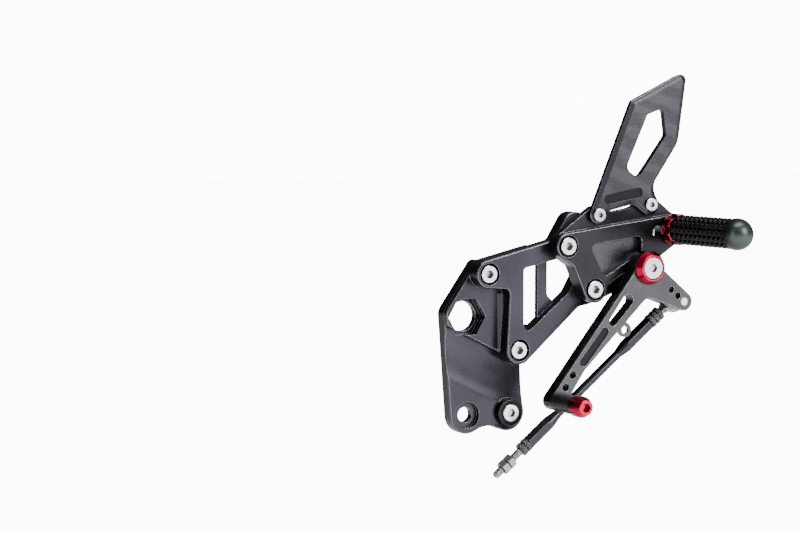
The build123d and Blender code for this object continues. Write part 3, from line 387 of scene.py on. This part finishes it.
def threaded_stud():
    """The lower stud with its M6 thread of 1 mm pitch, which ends in a short bevel. Sizes are in mm."""
    start, length = 151.0, 48.0
    radius, depth, bevel_length = 3.0, 0.45, 1.2
    core = 0.05

    def radius_at(distance, turns):
        mm = distance / MM
        bevel = max(0.0, bevel_length - (length - mm))
        return (radius - depth * (1.0 - tooth(mm - turns)) - bevel) * MM

    piece = relief("stud_thread", rod_point(start), DOWN_ROD, length * MM, radius_at, 384, 32, core * MM)
    finish_piece(piece, dull_steel, "stud", "lower_stud")


peg_barrel()
knurled_nut("upper_knurl", "lock_nut", "rod_lock_nut", 14.0, 12.5, 5.6, 3)
knurled_nut("lower_knurl", "rod", "rod_lower_nut", 162.5, 8.5, 5.3, 2)
threaded_stud()


# ---------------------------------------------------------------- studio
FLOOR_DROP = 60 * MM        # the rod's lowest pose stays above the floor
FLOOR_HALF = 9.0
FLOOR_SEEN = 11.0           # how bright the floor looks
FLOOR_LIT_FROM, FLOOR_LIT_TO = 0.0, -0.35
FLOOR_BEHIND, FLOOR_IN_FRONT = 0.05, 2.8


def pale_floor():
    """A wide pale floor under the object, faintly glossy and slightly uneven in tone."""
    level = cad_box[0][2] - FLOOR_DROP
    mesh = bmesh.new()
    corners = ((-1, -1), (1, -1), (1, 1), (-1, 1))
    mesh.faces.new([mesh.verts.new((x * FLOOR_HALF, y * FLOOR_HALF, level)) for x, y in corners])
    data = bpy.data.meshes.new("floor")
    mesh.to_mesh(data)
    mesh.free()
    sheet = bpy.data.objects.new("floor", data)
    bpy.context.collection.objects.link(sheet)
    mat, tree, shader = material("paper")
    fibre = add(tree, "ShaderNodeTexNoise", [("Scale", 3.0), ("Detail", 4.0)],
                Vector=scaled(tree, UNSCALED))
    tone = ramp(tree, fibre.outputs["Fac"], [(0.3, (0.93, 0.935, 0.93)), (0.7, (0.95, 0.955, 0.95))])
    tree.links.new(tone, shader.inputs["Base Color"])
    shader.inputs["Roughness"].default_value = 0.28
    shader.inputs["Specular IOR Level"].default_value = 0.5
    shader.inputs["Emission Color"].default_value = (1.0, 1.0, 1.0, 1.0)
    # the camera sees one even white; the object is lit by the front of the floor and hardly by its back
    place = add(tree, "ShaderNodeTexCoord")
    split = add(tree, "ShaderNodeSeparateXYZ", Vector=place.outputs["Object"])
    lit = add(tree, "ShaderNodeMapRange",
              [("From Min", FLOOR_LIT_FROM), ("From Max", FLOOR_LIT_TO),
               ("To Min", FLOOR_BEHIND), ("To Max", FLOOR_IN_FRONT)],
              Value=split.outputs["Y"])
    seen = add(tree, "ShaderNodeLightPath")
    glow = add(tree, "ShaderNodeMapRange", [("To Max", FLOOR_SEEN)], Value=seen.outputs["Is Camera Ray"])
    tree.links.new(lit.outputs["Result"], glow.inputs["To Min"])
    tree.links.new(glow.outputs["Result"], shader.inputs["Emission Strength"])
    data.materials.append(mat)


ROOM_BRIGHTEST = Vector((0.35, -0.80, 0.48)).normalized()
ROOM_STRENGTH = 13.0


def studio_world():
    """White to the camera; the object is lit by a soft room, brightest in front, above and to the right."""
    world = bpy.data.worlds.new("studio")
    world.use_nodes = True
    tree = world.node_tree
    direction = add(tree, "ShaderNodeTexCoord")
    facing = add(tree, "ShaderNodeVectorMath")
    facing.operation = "DOT_PRODUCT"
    tree.links.new(direction.outputs["Generated"], facing.inputs[0])
    facing.inputs[1].default_value = ROOM_BRIGHTEST
    half = add(tree, "ShaderNodeMath", [(1, 0.5), (2, 0.5)])
    half.operation = "MULTIPLY_ADD"
    tree.links.new(facing.outputs["Value"], half.inputs[0])
    room = ramp(tree, half.outputs["Value"], [(0.0, grey(0.004)), (0.35, grey(0.008)), (0.62, grey(0.035)),
                                              (0.85, grey(0.07)), (1.0, grey(0.20))])
    seen = add(tree, "ShaderNodeLightPath")
    colour = blend_colour(tree, "MIX", seen.outputs["Is Camera Ray"], room, WHITE)
    background = tree.nodes["Background"]
    tree.links.new(colour, background.inputs["Color"])
    background.inputs["Strength"].default_value = ROOM_STRENGTH
    bpy.context.scene.world = world


def area_light(name, place, target, size, power):
    """A soft rectangular light at a place, aimed at a target."""
    lamp = bpy.data.lights.new(name, "AREA")
    lamp.shape = "RECTANGLE"
    lamp.size, lamp.size_y = size
    lamp.energy = power
    holder = bpy.data.objects.new(name, lamp)
    holder.location = place
    holder.rotation_euler = (Vector(target) - Vector(place)).to_track_quat("-Z", "Y").to_euler()
    bpy.context.collection.objects.link(holder)


def camera(place, direction, lens):
    """The camera, upright, at a place and along a direction."""
    data = bpy.data.cameras.new("camera")
    data.lens = lens
    data.sensor_width = 36.0
    data.clip_end = 50.0
    holder = bpy.data.objects.new("camera", data)
    holder.location = place
    holder.rotation_euler = Vector(direction).to_track_quat("-Z", "Y").to_euler()
    bpy.context.collection.objects.link(holder)
    bpy.context.scene.camera = holder


pale_floor()
studio_world()
MIDDLE = (0.08, -0.03, 0.03)
GUARD = (0.14, -0.03, 0.13)
area_light("front", (0.9, -1.9, 0.9), MIDDLE, (1.0, 1.2), 58.0)
area_light("left_strip", (-1.9, -0.9, 0.5), MIDDLE, (0.35, 1.6), 13.0)
area_light("top", (0.1, -0.5, 1.6), MIDDLE, (1.4, 0.5), 30.0)
area_light("guard_box", (1.17, -1.63, 0.32), GUARD, (0.7, 0.3), 2.2)

YAW = math.radians(26.6)
PITCH = math.radians(3.9)
VIEW = (math.sin(YAW) * math.cos(PITCH), math.cos(YAW) * math.cos(PITCH), -math.sin(PITCH))
CAMERA_PLACE = (-771.6 * MM, -1443.5 * MM, 148.2 * MM)
LENS = 99.0
camera(CAMERA_PLACE, VIEW, LENS)
